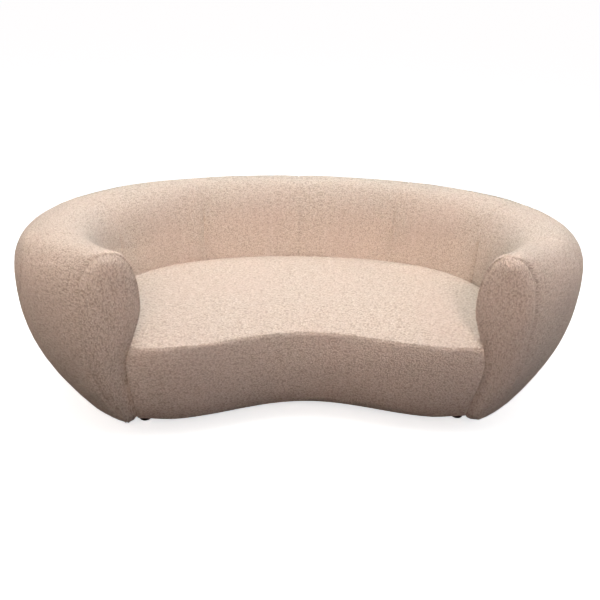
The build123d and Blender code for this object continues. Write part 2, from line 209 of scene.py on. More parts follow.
def refine(coarse: np.ndarray, step: int) -> np.ndarray:
    """Fill a coarse grid of vectors in to a finer one, smoothly, along both of its directions.

    Args:
        coarse: vectors on the coarse grid.
        step: fine points to each coarse one.

    Returns:
        Vectors on the fine grid.
    """
    grid = coarse
    for axis in (0, 1):
        grid = np.moveaxis(grid, axis, 0)
        count = grid.shape[0]
        where = np.arange((count - 1) * step + 1) / step
        base = np.minimum(where.astype(int), count - 2)
        t = (where - base)[:, None, None]
        before = grid[np.maximum(base - 1, 0)]
        start, end = grid[base], grid[base + 1]
        after = grid[np.minimum(base + 2, count - 1)]
        square = 2 * before - 5 * start + 4 * end - after
        cube = 3 * (start - end) + after - before
        grid = start + 0.5 * t * (end - before + t * (square + t * cube))
        grid = np.moveaxis(grid, 0, axis)
    return grid


def hashed(cell: np.ndarray, seed: int) -> np.ndarray:
    """Give every lattice cell a fixed number from 0 to 1.

    Args:
        cell: whole numbers, three in the last axis.
        seed: which pattern.

    Returns:
        One number for each cell, the same on every run.
    """
    mixed = (cell * np.array([374761393, 668265263, 2147483647 // 7])).sum(axis=-1) + seed * 1274126177
    mixed = (mixed ^ (mixed >> 13)) * 1103515245 & 0x7FFFFFFF
    mixed = (mixed ^ (mixed >> 11)) * 12345701 & 0x7FFFFFFF
    return mixed / 0x7FFFFFFF


def lumps(points: np.ndarray, seed: int) -> np.ndarray:
    """Smooth value noise in space, from -1 to 1, one cell to a unit.

    Args:
        points: where to read it, three numbers in the last axis.
        seed: which pattern.

    Returns:
        The noise at each point.
    """
    cell = np.floor(points).astype(np.int64)
    part = points - cell
    part = part * part * part * (part * (part * 6 - 15) + 10)
    total = np.zeros(points.shape[:-1])
    for corner in np.ndindex(2, 2, 2):
        weight = np.ones(points.shape[:-1])
        for axis, far in enumerate(corner):
            weight = weight * (part[..., axis] if far else 1 - part[..., axis])
        total += weight * hashed(cell + np.array(corner), seed)
    return 2 * total - 1


# ---------------------------------------------------------------- the sofa's curves


@dataclass(frozen=True)
class PlanCurve:
    """A superellipse in plan."""

    half_width: float
    half_depth: float
    centre_y: float
    power: float

    def at(self, angle: np.ndarray) -> np.ndarray:
        """Find points of the curve.

        Args:
            angle: degrees from the middle of the back.

        Returns:
            Points in plan, two numbers in the last axis.
        """
        turn = np.radians(angle)
        x = self.half_width * signed_power(np.sin(turn), 2 / self.power)
        y = self.centre_y + self.half_depth * signed_power(np.cos(turn), 2 / self.power)
        return np.stack([x, y], axis=-1)


@dataclass(frozen=True)
class Inset:
    """How far inside the outermost face a layer lies."""

    wall: float = 0.0
    crest: float = 0.0
    back: float = 0.0


@dataclass(frozen=True)
class Horseshoe:
    """The one curved form of back and arms, as upright sections between two plan curves."""

    inner: PlanCurve = PlanCurve(0.770, 0.443, -0.152, 2.3)
    outer: PlanCurve = PlanCurve(1.100, 0.576, -0.073, 2.05)
    arm_start: float = 70.0
    arm_end: float = 128.8
    outer_lead: float = 1.046
    height: float = 0.745
    arm_rise: float = 0.009
    foot: float = 0.062
    widest: float = 0.496
    wall_head: float = 0.562
    tuck_level: float = 0.300
    crest_share: float = 0.373
    crest_power: float = 2.4
    under_share: float = 0.407
    under_extra: float = 0.0635
    under_power: float = 2.4
    lean: float = 0.016
    overhang: float = 0.043
    foot_inset: float = 0.020
    kick: dict[Side, float] = field(default_factory=lambda: {Side.LEFT: 0.024, Side.RIGHT: 0.037})
    kick_level: float = 0.345
    tip_start: float = 104.0
    tip_fullness: float = 0.019
    seams: tuple[float, ...] = (0.0, 0.410, 0.800, 1.150)
    lean_end: float = 95.0
    arc_points: int = 1300

    def arm_share(self, angle: float) -> float:
        """How much of an arm's shape a section has.

        Args:
            angle: the section's angle in degrees.

        Returns:
            0 in the back, up to 1 at the arm's end.
        """
        return float(eased(np.array((abs(angle) - self.arm_start) / (self.arm_end - self.arm_start))))

    def axis(self, angle: float) -> tuple[np.ndarray, np.ndarray, float]:
        """Find a section in plan.

        Args:
            angle: the section's angle in degrees.

        Returns:
            Its inner point, its direction outwards and its span.
        """
        near = self.inner.at(np.array(angle))
        far = self.outer.at(np.array(angle * (1 + (self.outer_lead - 1) * self.arm_share(angle))))
        span = float(np.linalg.norm(far - near))
        return near, (far - near) / span, span

    def lean_at(self, angle: float) -> float:
        """How far back the head of the wall leans.

        Args:
            angle: the section's angle in degrees.

        Returns:
            The lean, which dies away in the arms.
        """
        return (1 - float(eased(np.array(abs(angle) / self.lean_end)))) * self.lean

    def wall(self, angle: float, z: np.ndarray) -> np.ndarray:
        """How far out the inner wall stands.

        Args:
            angle: the section's angle in degrees.
            z: the levels to ask at.

        Returns:
            Its distance outwards at each level.
        """
        arm = self.arm_share(angle)
        head = self.lean_at(angle) - self.overhang * arm
        kick = self.kick[Side.RIGHT if angle > 0 else Side.LEFT]
        fade = 1 - eased((z - self.foot) / (self.kick_level - self.foot))
        base = self.foot_inset * arm - kick * arm * fade
        return base + (head - base) * eased((z - self.tuck_level) / (self.wall_head - self.tuck_level))

    def profile(
        self, angle: float, wall_foot: float, outer_foot: float, inset: Inset = Inset()
    ) -> np.ndarray:
        """A section's outline from the inner foot over the crest to the outer foot.

        Args:
            angle: the section's angle in degrees.
            wall_foot: the level where the outline starts on the inner wall.
            outer_foot: the level where it ends on the outer face.
            inset: how far inside the outermost face it lies.

        Returns:
            Points as distance outwards and level.
        """
        _, _, span = self.axis(angle)
        arm = self.arm_share(angle)
        height = self.height + self.arm_rise * arm - inset.crest
        wall_top = float(self.wall(angle, np.array(self.wall_head)))
        crest = wall_top + (span - wall_top) * self.crest_share + self.lean_at(angle) / 2
        turn = np.linspace(0.0, math.pi / 2, CREST_POINTS)
        fast, slow = np.sin(turn) ** (2 / self.crest_power), np.cos(turn) ** (2 / self.crest_power)
        level = np.linspace(wall_foot, self.wall_head, WALL_POINTS)
        wall = np.stack([self.wall(angle, level) + inset.wall, level], axis=1)
        inner_top = np.stack(
            [
                crest - (crest - wall_top - inset.wall) * slow,
                self.wall_head + (height - self.wall_head) * fast,
            ],
            axis=1,
        )
        outer_top = np.stack(
            [crest + (span - inset.back - crest) * fast, self.widest + (height - self.widest) * slow], axis=1
        )
        level = np.linspace(self.widest, outer_foot, OUTER_POINTS)
        drop = (self.widest - level) / (self.widest - self.foot)
        tip = float(eased(np.array((abs(angle) - self.tip_start) / (self.arm_end - self.tip_start))))
        tuck = self.under_share * span + self.under_extra - self.tip_fullness * tip
        lower = np.stack([span - tuck * drop**self.under_power - inset.back, level], axis=1)
        return np.concatenate([wall, inner_top[1:], outer_top[1:], lower[1:]])

    def place(self, angle: float, outline: np.ndarray) -> np.ndarray:
        """Stand an outline up in its section.

        Args:
            angle: the section's angle in degrees.
            outline: distances outwards and levels.

        Returns:
            Points in space.
        """
        near, out, _ = self.axis(angle)
        plan = near + outline[:, :1] * out
        return np.concatenate([plan, outline[:, 1:]], axis=1)

    def forward(self, angle: float) -> np.ndarray:
        """Find which way a section looks.

        Args:
            angle: the section's angle in degrees.

        Returns:
            The level direction out of it towards the end of its arm.
        """
        _, out, _ = self.axis(angle)
        normal = np.array([out[1], -out[0], 0.0])
        return normal if angle > 0 else -normal

    def angle_at(self, arc: float) -> float:
        """Find the angle at a distance along the inner plan curve.

        Args:
            arc: the distance from the middle of the back.

        Returns:
            The angle in degrees.
        """
        angles = np.linspace(0.0, self.arm_end, self.arc_points)
        return float(np.interp(arc, distances(self.inner.at(angles)), angles))

    def seam_angles(self) -> list[float]:
        """The angles of the seams of one half, and of the arm's end."""
        return [self.angle_at(arc) for arc in self.seams] + [self.arm_end]


@dataclass(frozen=True)
class SeatLine:
    """The seat's hollow front in plan."""

    front: float = -0.468
    hollow: float = 0.112
    half_hollow: float = 0.560

    def y(self, x: np.ndarray) -> np.ndarray:
        """How far back the front stands.

        Args:
            x: places across the sofa.

        Returns:
            The front's y at each of them.
        """
        reach = np.clip(np.abs(x) / self.half_hollow, 0.0, 1.0)
        return self.front + self.hollow * 0.5 * (1 + np.cos(math.pi * reach))


# ---------------------------------------------------------------- cloth grids


@dataclass
class ClothGrid:
    """One piece of cloth as a grid of points, with what closes it behind."""

    name: str
    points: np.ndarray
    cloth_map: np.ndarray
    hidden: np.ndarray
    edge: np.ndarray
    drop: np.ndarray
    nodes: tuple[str, ...]
    flip: bool = False
    fill: float = 0.7
    seed: int = 1
    pressure: float = 2.0
    cap: float = 0.008
    puff: np.ndarray | None = None

    def normals(self) -> np.ndarray:
        """Unit normals of the grid, outwards."""
        along = np.gradient(self.points, axis=0)
        across = np.gradient(self.points, axis=1)
        normal = np.cross(along, across)
        if self.flip:
            normal = -normal
        return normal / np.maximum(np.linalg.norm(normal, axis=2, keepdims=True), 1e-9)

    def quads(self, rows: int, columns: int) -> np.ndarray:
        """Number the corners of a grid's faces, wound to face outwards.

        Args:
            rows: points along the grid.
            columns: points across it.

        Returns:
            Four numbers for each face.
        """
        number = np.arange(rows * columns).reshape(rows, columns)
        corners = [number[:-1, :-1], number[1:, :-1], number[1:, 1:], number[:-1, 1:]]
        if self.flip:
            corners = corners[::-1]
        return np.stack(corners, axis=2).reshape(-1, 4)

    def build(self, relief: "ClothRelief") -> bpy.types.Object:
        """Shape the grid and close it into a mesh object.

        Args:
            relief: the cloth's surface.

        Returns:
            The finished piece.
        """
        normal = self.normals()
        if self.puff is not None:
            self.points = self.points + self.puff
        raised = relief.height(self.points, self.cloth_map, self.edge, self.seed)
        points = self.points + normal * (raised - self.drop)[..., None]

        rows, columns = points.shape[:2]
        step = HIDDEN_STEP
        hidden_rows, hidden_columns = self.hidden.shape[:2]
        start = rows * columns
        front = self.quads(rows, columns)
        behind = self.quads(hidden_rows, hidden_columns)[:, ::-1] + start
        fine = np.arange(start).reshape(rows, columns)
        coarse = np.arange(hidden_rows * hidden_columns).reshape(hidden_rows, hidden_columns) + start
        rims: list[list[int]] = []
        for edge_fine, edge_coarse, turned in (
            (fine[0, :], coarse[0, :], False),
            (fine[-1, :], coarse[-1, :], True),
            (fine[:, 0], coarse[:, 0], True),
            (fine[:, -1], coarse[:, -1], False),
        ):
            for index in range(len(edge_coarse) - 1):
                near = edge_fine[index * step : (index + 1) * step + 1]
                ring = [int(v) for v in (*near, edge_coarse[index + 1], edge_coarse[index])]
                rims.append(ring if turned == self.flip else ring[::-1])

        mesh = bpy.data.meshes.new(self.name)
        vertices = np.concatenate([points.reshape(-1, 3), self.hidden.reshape(-1, 3)])
        mesh.from_pydata(vertices.tolist(), [], [*front.tolist(), *behind.tolist(), *rims])
        hidden_map = self.cloth_map[::step, ::step]
        maps = np.concatenate([self.cloth_map.reshape(-1, 2), hidden_map.reshape(-1, 2)])
        layer = mesh.uv_layers.new(name="ClothMap")
        corner = np.zeros(len(mesh.loops), dtype=np.int32)
        mesh.loops.foreach_get("vertex_index", corner)
        layer.data.foreach_set("uv", maps[corner].ravel())
        mesh.validate()
        piece = bpy.data.objects.new(self.name, mesh)
        bpy.context.scene.collection.objects.link(piece)
        return piece

    def sheet(self) -> bpy.types.Object:
        """The coarse open sheet that the cloth simulation blows up."""
        coarse = self.points[::SIM_STEP, ::SIM_STEP]
        rows, columns = coarse.shape[:2]
        mesh = bpy.data.meshes.new(f"{self.name}_sheet")
        mesh.from_pydata(coarse.reshape(-1, 3).tolist(), [], self.quads(rows, columns).tolist())
        sheet = bpy.data.objects.new(f"{self.name}_sheet", mesh)
        bpy.context.scene.collection.objects.link(sheet)
        held = sheet.vertex_groups.new(name="held")
        border = np.zeros((rows, columns), dtype=bool)
        border[0, :] = border[-1, :] = border[:, 0] = border[:, -1] = True
        held.add(np.flatnonzero(border.ravel()).tolist(), 1.0, "REPLACE")
        return sheet


@dataclass(frozen=True)
class ClothRelief:
    """The lumps of a nubby looped cloth and the softness of the stuffing under it."""

    slub_length: float = 0.026
    slub_width: float = 0.0095
    slub_height: float = 0.0008
    softness: float = 0.0022
    soft_size: float = 0.23
    pucker: float = 0.0007
    pucker_size: float = 0.030
    pucker_reach: float = 0.045
    still_edge: float = 0.006
    soft_edge: float = 0.060

    def height(self, points: np.ndarray, cloth: np.ndarray, edge: np.ndarray, seed: int) -> np.ndarray:
        """How far the cloth stands out at each point.

        Args:
            points: the points in space.
            cloth: the same points on the cloth, along and across its grain.
            edge: each point's distance from the nearest seam.
            seed: which piece of cloth this is.

        Returns:
            Heights in metres.
        """
        flat = np.zeros(edge.shape)
        grain = np.stack([cloth[..., 0] / self.slub_length, cloth[..., 1] / self.slub_width, flat], axis=-1)
        warp = lumps(grain * 0.5 + 31.7, seed + 5)
        slubs = lumps(grain + np.stack([warp, 0.8 * warp, 0 * warp], axis=-1), seed)
        fine = lumps(grain * np.array([1.7, 1.4, 1.0]) + 7.3, seed + 1)
        soft = lumps(points / self.soft_size, 11) + 0.5 * lumps(points / self.soft_size * 2.1, 12)
        inside = np.clip(edge / self.soft_edge, 0.0, 1.0)
        rising = np.clip(edge / self.still_edge, 0.0, 1.0)
        close = np.exp(-((edge / self.pucker_reach) ** 2))
        tucks = lumps(points / self.pucker_size, seed + 9)
        return (
            self.slub_height * (0.65 * slubs + 0.35 * fine) * rising
            + self.softness * soft * inside
            + self.pucker * tucks * close * rising
        )


@dataclass(frozen=True)
class ClothPress:
    """Blender's cloth, set for upholstery pulled tight over stuffing."""

    frames: int = 14
    stiffness: float = 12.0
    bending: float = 3.0
    damping: float = 10.0
    mass: float = 0.3
    quality: int = 5

    def blow(self, grids: list[ClothGrid]) -> None:
        """Blow the grids up together between their held edges and store how far their points moved.

        Args:
            grids: the cloth to blow up; each gets its puff.
        """
        scene = bpy.context.scene
        scene.frame_set(1)
        sheets = []
        for grid in grids:
            sheet = grid.sheet()
            cloth = sheet.modifiers.new("cloth", "CLOTH")
            settings = cloth.settings
            settings.quality = self.quality
            settings.mass = self.mass
            settings.tension_stiffness = settings.compression_stiffness = self.stiffness
            settings.shear_stiffness = self.stiffness / 2
            settings.bending_stiffness = self.bending
            settings.tension_damping = settings.compression_damping = self.damping
            settings.use_pressure = True
            settings.uniform_pressure_force = grid.pressure
            settings.vertex_group_mass = "held"
            settings.effector_weights.gravity = 0.0
            cloth.collision_settings.use_collision = False
            cloth.point_cache.frame_start = 1
            cloth.point_cache.frame_end = self.frames
            sheets.append(sheet)
        for step in range(1, self.frames + 1):
            scene.frame_set(step)
        depsgraph = bpy.context.evaluated_depsgraph_get()
        for grid, sheet in zip(grids, sheets):
            coarse = grid.points[::SIM_STEP, ::SIM_STEP]
            blown = np.zeros(coarse.size, dtype=np.float32)
            sheet.evaluated_get(depsgraph).data.vertices.foreach_get("co", blown)
            moved = blown.reshape(coarse.shape) - coarse
            length = np.linalg.norm(moved, axis=2, keepdims=True)
            capped = moved * np.minimum(1.0, grid.cap / np.maximum(length, 1e-9))
            log.info("cloth on %s moved at most %.1f mm", grid.name, 1000 * length.max())
            grid.puff = refine(capped, SIM_STEP)
        scene.frame_set(1)
        for sheet in sheets:
            mesh = sheet.data
            bpy.data.objects.remove(sheet)
            bpy.data.meshes.remove(mesh)


def walked_along(points: np.ndarray, axis: int) -> np.ndarray:
    """Measure distances walked over a grid of points.

    Args:
        points: the grid.
        axis: which of its axes to walk along.

    Returns:
        The distance of each point from the start of its line.
    """
    steps = np.linalg.norm(np.diff(points, axis=axis), axis=2)
    start = np.zeros_like(np.take(steps, [0], axis=axis))
    return np.cumsum(np.concatenate([start, steps], axis=axis), axis=axis)


# ---------------------------------------------------------------- the upholstered pieces


@dataclass
class HorseshoeCover:
    """The gores of cloth sewn together over the stuffing of the back and arms."""

    form: Horseshoe
    fill: Inset = Inset(0.045, 0.048, 0.009)
    step: float = 0.0052
    wall_foot: float = 0.330
    seam_drop: float = 0.0028
    seam_reach: float = 0.008
    end_drop: float = 0.0068
    end_reach: float = 0.0170
    end_stitch: float = 0.0006
    foot_drop: float = 0.007
    foot_reach: float = 0.022
    seam_samples: int = 80

    def gore(self, side: Side, run: Run, start: float, end: float) -> ClothGrid:
        """Lay out one gore between two seams.

        Args:
            side: the half of the sofa.
            run: the stretch of the horseshoe.
            start: the angle of the seam nearer the middle of the back.
            end: the angle of the seam nearer the arm's end.

        Returns:
            The gore as a grid, along the arc first and over the crest second.
        """
        form, foot = self.form, self.form.foot
        samples = self.seam_samples
        shoulder = slice(SHOULDER_POINT, SHOULDER_POINT + 1)
        angles = np.linspace(start, end, samples) * side.value
        outer = np.array([form.place(a, form.profile(a, self.wall_foot, foot)[shoulder])[0] for a in angles])
        angles = even_along(outer[:, :2], angles, samples)
        length = line_length(outer)
        places = np.linspace(0, samples - 1, grid_count(length, self.step))
        angles = np.interp(places, np.arange(samples), angles)
        middle = form.profile(angles[len(angles) // 2], self.wall_foot, foot)
        rows = grid_count(line_length(middle), self.step)
        outlines = [resample(form.profile(a, self.wall_foot, foot), rows) for a in angles]
        points = np.array([form.place(a, outline) for a, outline in zip(angles, outlines)])
        inner = [(a, form.profile(a, self.wall_foot, foot, self.fill)) for a in angles[::HIDDEN_STEP]]
        hidden = np.array([form.place(a, resample(outline, rows)[::HIDDEN_STEP]) for a, outline in inner])
        along = walked_along(points, 0)
        across = walked_along(points, 1)
        to_start, to_end = along, along[-1] - along
        to_foot = across[:, -1:] - across
        drop = self.seam_drop * rounded_edge(to_start, self.seam_reach)
        if run is Run.ARM:
            drop = drop + self.end_drop * rolled_edge(to_end, self.end_reach)
            drop = drop + self.end_stitch * rounded_edge(to_end, self.seam_reach)
        else:
            drop = drop + self.seam_drop * rounded_edge(to_end, self.seam_reach)
        drop = drop + self.foot_drop * rounded_edge(to_foot, self.foot_reach)
        middle_along = np.broadcast_to(along[:, rows // 2 : rows // 2 + 1], along.shape)
        return ClothGrid(
            name=f"gore_{run.value}_{side.word}",
            points=points,
            cloth_map=np.stack([middle_along, across], axis=-1),
            hidden=hidden,
            edge=np.minimum(to_start, to_end),
            drop=drop,
            nodes=(f"cover_{run.value}_{side.word}", f"stuffing_{run.value}_{side.word}"),
            flip=side is Side.LEFT,
            seed=20 + 7 * list(Run).index(run) + (3 if side is Side.LEFT else 0),
            pressure=1.2,
            cap=0.006,
        )

    def grids(self) -> list[ClothGrid]:
        """All the gores, side by side."""
        seams = self.form.seam_angles()
        runs = list(zip(Run, seams, seams[1:]))
        return [self.gore(side, run, start, end) for side in Side for run, start, end in runs]


@dataclass
class ArmPanel:
    """The panel on the front of an arm, sewn round its edge over a pad."""

    form: Horseshoe
    bulge: float = 0.021
    bulge_reach: float = 0.050
    seam_inset: float = 0.0068
    inset_share: float = 0.45
    stitch: float = 0.0006
    stitch_reach: float = 0.007
    rows: int = 168
    columns: int = 48
    pad: float = 0.004
    ring_points: int = 900
    tip_height: dict[Side, float] = field(default_factory=lambda: {Side.LEFT: 0.050, Side.RIGHT: 0.036})
    tip_share: dict[Side, float] = field(default_factory=lambda: {Side.LEFT: 0.72, Side.RIGHT: 0.42})
    tip_turn: tuple[float, float] = (3.4, 0.6)
    gather: dict[Side, float] = field(default_factory=lambda: {Side.LEFT: 0.0035, Side.RIGHT: 0.0})

    def grid(self, side: Side) -> ClothGrid:
        """Lay out the panel as rungs from the inner edge of the arm to its outer edge.

        Args:
            side: which arm.

        Returns:
            The panel as a grid, upwards first and across second.
        """
        form = self.form
        angle = side.value * form.arm_end
        outline = form.profile(angle, form.foot, form.foot)
        crest = int(np.argmax(outline[:, 1]))
        inner, outer = outline[: crest + 1], outline[crest:][::-1]
        share = np.sin(np.linspace(0, math.pi / 2, self.rows + 1))
        top = outline[crest, 1] - self.seam_inset
        level = form.foot + (top - form.foot) * share
        squeezed = form.foot + (outline[crest, 1] - form.foot) * share
        near = np.interp(squeezed, inner[:, 1], inner[:, 0])
        far = np.interp(squeezed, outer[:, 1], outer[:, 0])
        inset = np.minimum(self.seam_inset, self.inset_share * (far - near))
        near, far = near + inset, far - inset
        low = np.clip(1 - (level - form.foot) / self.tip_height[side], 0, 1)
        near = near + self.tip_share[side] * (far - near) * (1 - np.sqrt(1 - low**2))
        across = np.linspace(0, 1, self.columns + 1)
        reach = near[:, None] + (far - near)[:, None] * across[None, :]
        height = np.broadcast_to(level[:, None], reach.shape)
        waves, start = self.tip_turn
        wave = np.sin(across * waves * math.pi + start)[None, :] * low[:, None] ** 2
        height = height + self.gather[side] * wave
        flat = np.stack([reach, height], axis=-1)
        ring = np.concatenate([flat[:, 0], flat[::-1, -1], flat[0]])
        ring = resample(ring, self.ring_points)
        gap = np.sqrt(((flat[:, :, None, :] - ring[None, None]) ** 2).sum(-1)).min(-1)
        rise = self.bulge * (1 - rolled_edge(gap, self.bulge_reach))
        centre, out, _ = form.axis(angle)
        base = np.concatenate([centre + flat[..., :1] * out, flat[..., 1:]], axis=-1)
        forward = form.forward(angle)
        points = base + rise[..., None] * forward
        hidden = base[::HIDDEN_STEP, ::HIDDEN_STEP] - self.pad * forward
        return ClothGrid(
            name=f"arm_front_{side.word}",
            points=points,
            cloth_map=flat[..., ::-1].copy() if side is Side.LEFT else flat[..., ::-1] * np.array([1, -1]),
            hidden=hidden,
            edge=gap,
            drop=self.stitch * rounded_edge(gap, self.stitch_reach),
            nodes=(f"arm_front_panel_{side.word}", f"arm_front_pad_{side.word}"),
            flip=side is Side.RIGHT,
            seed=71 if side is Side.LEFT else 83,
            pressure=0.8,
            cap=0.004,
        )


@dataclass
class SeatTop:
    """The tight seat: a crowned top sewn to the front border and tucked in all round."""

    form: Horseshoe
    line: SeatLine
    seam_level: float = 0.3925
    top_level: float = 0.417
    crown: float = 0.006
    front_reach: float = 0.105
    tuck: float = 0.020
    tuck_reach: float = 0.015
    tuck_start: float = 0.050
    gap: float = 0.0025
    stitch: float = 0.0032
    stitch_reach: float = 0.009
    corner_angle: float = 50.0
    step: float = 0.0052
    bottom: float = 0.345
    side_points: int = 160
    front_points: int = 200
    ring_points: int = 1400
    crown_reach: tuple[float, float] = (0.30, 0.25)

    def outline(self) -> tuple[np.ndarray, np.ndarray, np.ndarray, np.ndarray]:
        """The seat's four sides in plan: front, back, left and right, each from its first corner."""
        form = self.form

        def around(start: float, end: float) -> np.ndarray:
            """Walk a stretch of the inner plan curve, drawn in by the gap.

            Args:
                start: its first angle in degrees.
                end: its last.

            Returns:
                Points in plan.
            """
            axes = [form.axis(a) for a in np.linspace(start, end, self.side_points)]
            return np.array([near - out * self.gap for near, out, _ in axes])

        right = around(form.arm_end, self.corner_angle)
        left = around(-form.arm_end, -self.corner_angle)
        back = around(-self.corner_angle, self.corner_angle)
        x = np.linspace(left[0, 0], right[0, 0], self.front_points)
        front = np.stack([x, self.line.y(x)], axis=1)
        front = np.concatenate([left[:1], front, right[:1]])
        return front, back, left, right

    def grid(self) -> ClothGrid:
        """Lay out the seat top by blending between its four sides."""
        front, back, left, right = self.outline()
        columns = grid_count(line_length(back), self.step)
        rows = grid_count(line_length(left), self.step)
        front, back = resample(front, columns), resample(back, columns)
        left, right = resample(left, rows), resample(right, rows)
        u = np.linspace(0, 1, columns)[:, None, None]
        v = np.linspace(0, 1, rows)[None, :, None]
        across = (1 - v) * front[:, None] + v * back[:, None]
        along = (1 - u) * left[None] + u * right[None]
        front_corners = (1 - u) * (1 - v) * front[0] + u * (1 - v) * front[-1]
        back_corners = (1 - u) * v * back[0] + u * v * back[-1]
        plan = across + along - front_corners - back_corners
        sides = np.concatenate([left, back, right[::-1]])
        sides = resample(sides, self.ring_points)
        to_side = np.empty(plan.shape[:2])
        for index in range(columns):
            to_side[index] = np.sqrt(((plan[index][:, None] - sides[None]) ** 2).sum(-1)).min(-1)
        to_front = np.maximum(plan[..., 1] - self.line.y(plan[..., 0]), 0.0)
        side_reach, front_reach = self.crown_reach
        middle = np.clip(to_side / side_reach, 0, 1) * np.clip(to_front / front_reach, 0, 1)
        fall = (1 - np.clip(to_front / self.front_reach, 0, 1)) ** 2
        level = (
            self.seam_level
            + (self.top_level - self.seam_level) * (1 - fall)
            + self.crown * eased(middle)
            - self.tuck * rounded_edge(to_side, self.tuck_reach) * eased(to_front / self.tuck_start)
        )
        points = np.concatenate([plan, level[..., None]], axis=-1)
        hidden = points[::HIDDEN_STEP, ::HIDDEN_STEP].copy()
        hidden[..., 2] = self.bottom
        return ClothGrid(
            name="seat_top",
            points=points,
            cloth_map=plan.copy(),
            hidden=hidden,
            edge=np.minimum(to_side, to_front),
            drop=self.stitch * rounded_edge(to_front, self.stitch_reach),
            nodes=("seat_cover", "seat_stuffing"),
            seed=101,
            pressure=1.0,
            cap=0.006,
        )


@dataclass
class SeatBorder:
    """The upright band of cloth across the front of the seat."""

    form: Horseshoe
    line: SeatLine
    head: float = 0.3915
    foot: float = 0.080
    sag: float = 0.009
    sag_reach: tuple[float, float] = (0.48, 0.62)
    swell: float = 0.013
    end_drop: float = 0.011
    end_reach: float = 0.018
    head_drop: float = 0.0038
    head_reach: float = 0.010
    head_slope: float = 0.012
    slope_reach: float = 0.02
    foot_drop: float = 0.018
    foot_reach: float = 0.080
    step: float = 0.0052
    pad: float = 0.0145
    overlap: float = 0.0085
    length: float = 1.28

    def grid(self) -> ClothGrid:
        """Lay out the border from its left end to its right end and from its seam down."""
        near, out, _ = self.form.axis(self.form.arm_end)
        columns = grid_count(self.length, self.step)
        rows = grid_count(self.head - self.foot, self.step)
        level = np.linspace(self.head, self.foot, rows)
        walls = {side: self.form.wall(side.value * self.form.arm_end, level) for side in Side}
        reaches = {side: near[0] + out[0] * wall + self.overlap for side, wall in walls.items()}
        share = np.linspace(-1, 1, columns)
        start, end = self.sag_reach
        raised = eased((np.abs(share) * reaches[Side.LEFT][0] - start) / (end - start))
        foot = self.foot - self.sag * (1 - raised)
        reach = np.where(share[:, None] < 0, reaches[Side.LEFT][None, :], reaches[Side.RIGHT][None, :])
        x = share[:, None] * reach
        height = np.broadcast_to(np.linspace(1, 0, rows)[None, :], x.shape)
        z = foot[:, None] + (self.head - foot[:, None]) * height
        y = self.line.y(x) - self.swell * 4 * height * (1 - height)
        points = np.stack([x, y, z], axis=-1)
        to_end = (1 - np.abs(share))[:, None] * reach
        to_head, to_foot = self.head - z, z - foot[:, None]
        sloped = z - self.head_slope * (1 - np.clip(to_head / self.slope_reach, 0, 1))
        hidden = np.stack([x, self.line.y(x) + self.pad, sloped], axis=-1)[::HIDDEN_STEP, ::HIDDEN_STEP]
        return ClothGrid(
            name="seat_front",
            points=points,
            cloth_map=np.stack([x, z], axis=-1),
            hidden=hidden,
            edge=np.minimum(to_end, to_head),
            drop=(
                self.end_drop * rounded_edge(to_end, self.end_reach)
                + self.head_drop * rounded_edge(to_head, self.head_reach)
                + self.foot_drop * rounded_edge(to_foot, self.foot_reach)
            ),
            nodes=("seat_front_border", "seat_front_pad"),
            flip=True,
            seed=113,
            pressure=0.8,
            cap=0.004,
        )


# ---------------------------------------------------------------- finishes


Colour = tuple[float, float, float]


